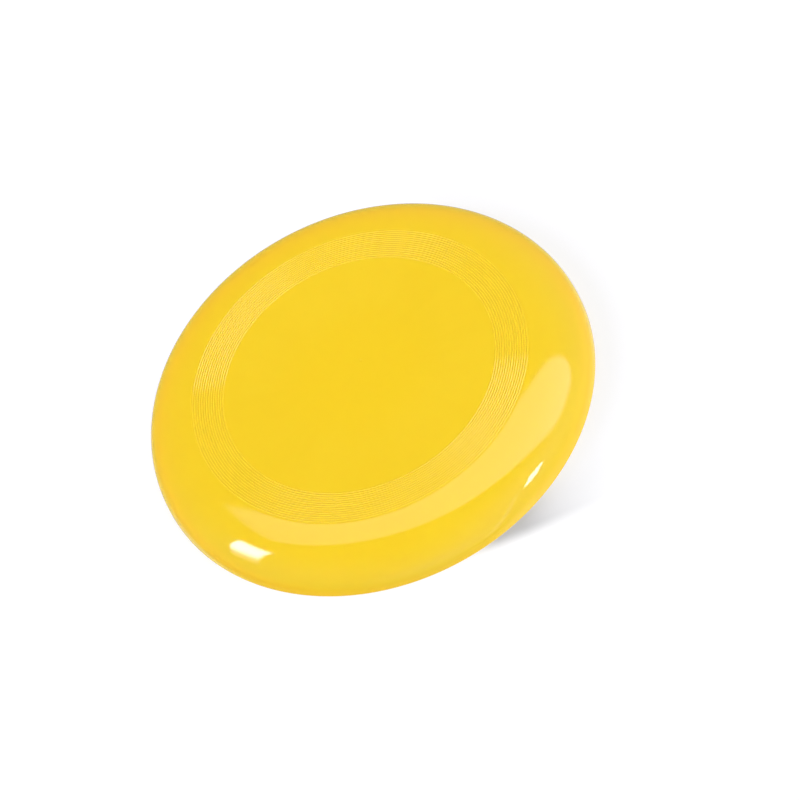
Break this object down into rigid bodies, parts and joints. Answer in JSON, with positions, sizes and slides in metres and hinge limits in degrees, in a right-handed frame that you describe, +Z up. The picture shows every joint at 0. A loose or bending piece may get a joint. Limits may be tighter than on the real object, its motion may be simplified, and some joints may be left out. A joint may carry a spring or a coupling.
{
  "type": "flying disc",
  "caption": "Round throwing disc with a smooth flat centre, a band of fine concentric flight rings, a rounded shoulder and an open underside.",
  "frame": {"origin": "on the disc's axis, in the plane of the rim's lowest edge", "axes": "+Z up along the disc's axis, out of the smooth side; X and Y lie in the rim's plane and are interchangeable"},
  "size_m": [0.23, 0.23, 0.023],
  "materials": {
    "yellow_plastic": "glossy moulded polypropylene, opaque, lightly translucent at thin edges"
  },
  "bodies": {
    "root": {"disc": "yellow_plastic"}
  },
  "joints": []
}
